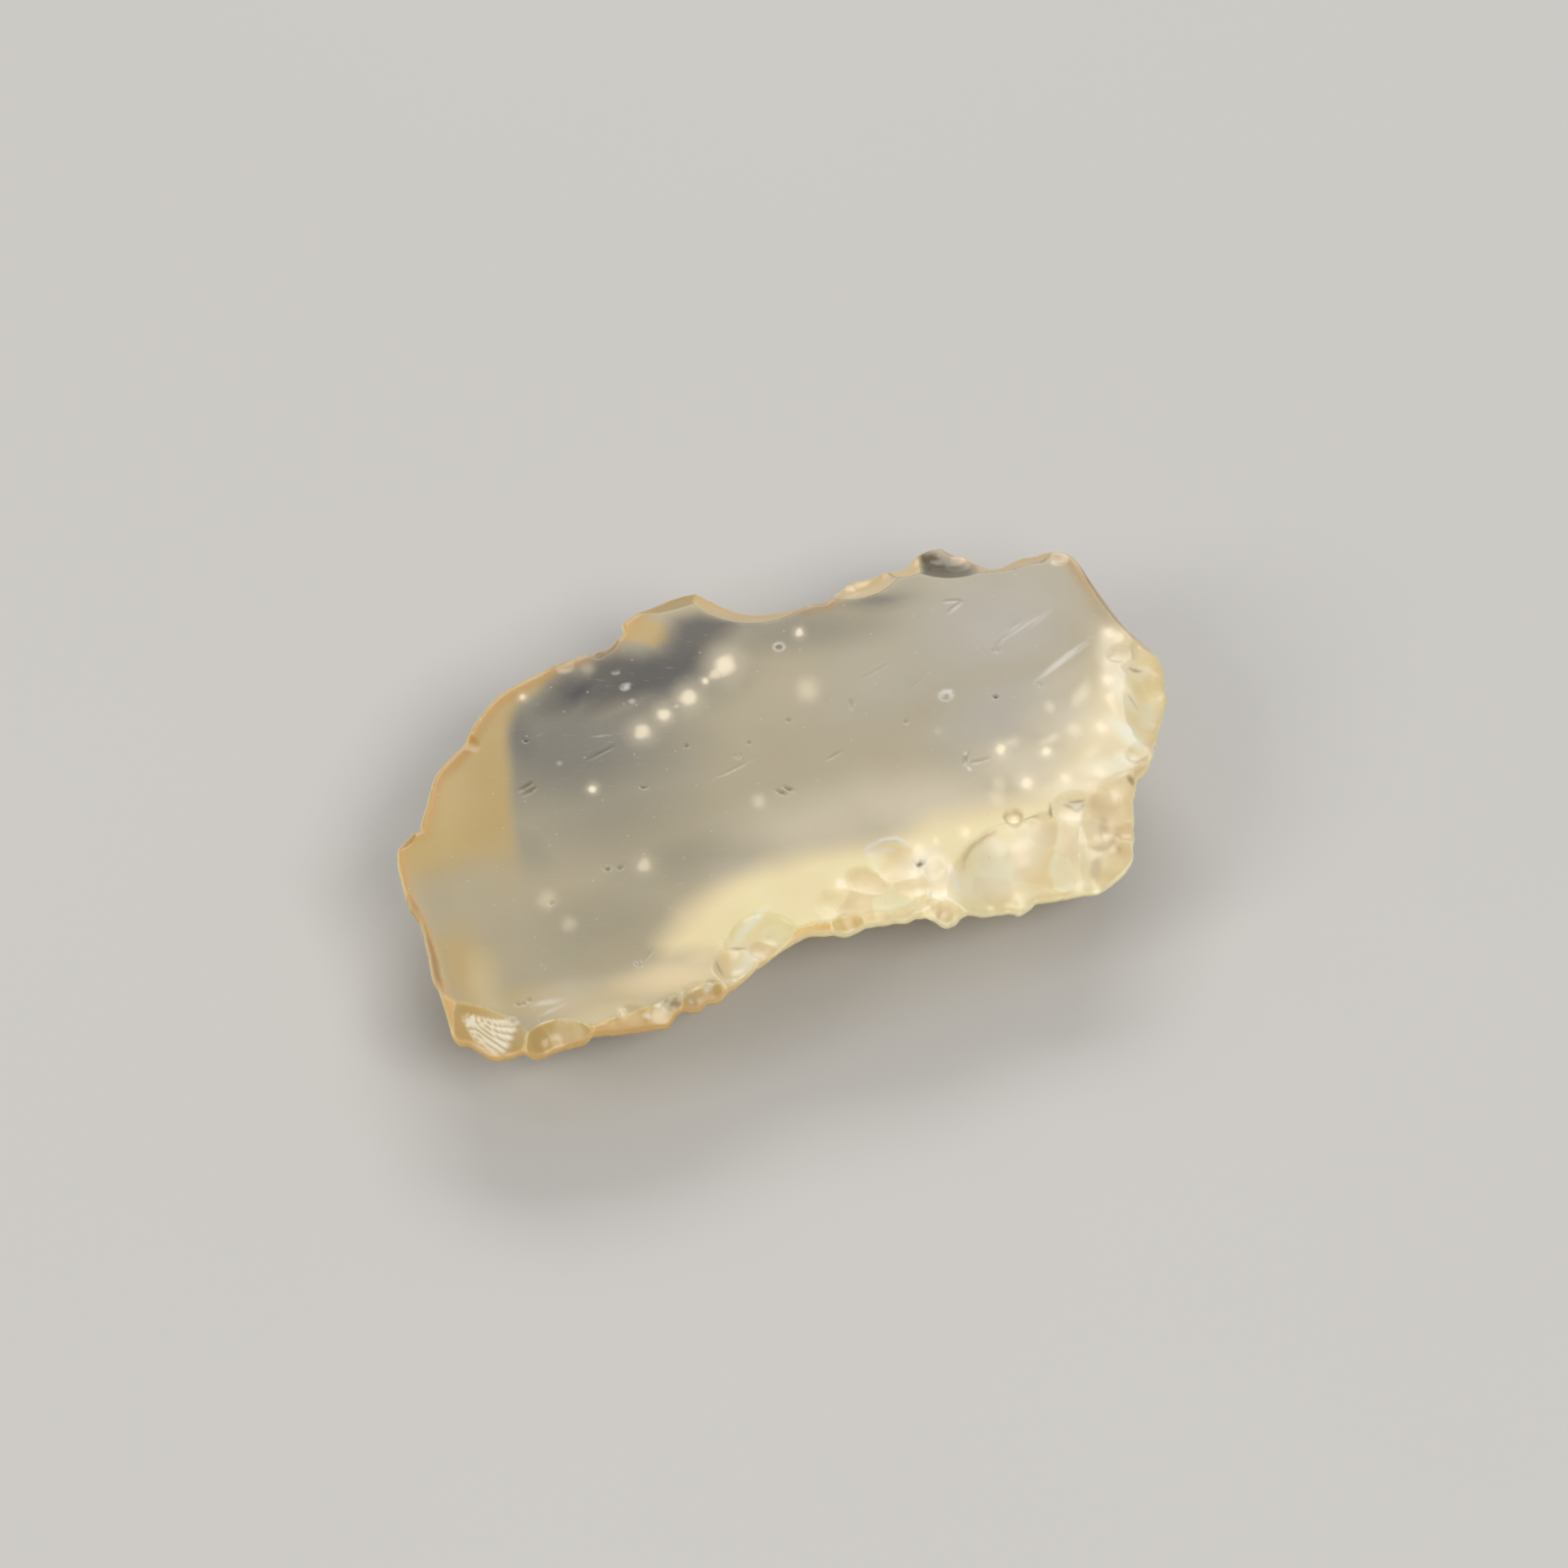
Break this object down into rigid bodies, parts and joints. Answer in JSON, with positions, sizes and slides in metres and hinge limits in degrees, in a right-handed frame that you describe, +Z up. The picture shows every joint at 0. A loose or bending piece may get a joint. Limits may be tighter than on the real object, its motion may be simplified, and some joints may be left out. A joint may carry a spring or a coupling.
{
  "type": "raw libyan desert glass flake",
  "caption": "Thin natural flake of milky pale yellow desert glass with a flat satin face, chipped edges, white specks and a flat underside to lie on.",
  "frame": {"origin": "middle of the flake's box, on the surface that it lies on", "axes": "+X along the longest way across the flake, towards its pointed tip; +Y across it, towards the humped back edge; +Z up, out of the flat face"},
  "size_m": [0.0276, 0.017, 0.0046],
  "materials": {
    "desert_glass": "milky translucent natural silica glass, satin and wind-worn, pale yellow with a greyer middle and cream specks inside"
  },
  "bodies": {
    "root": {"desert_glass": "desert_glass"}
  },
  "joints": []
}
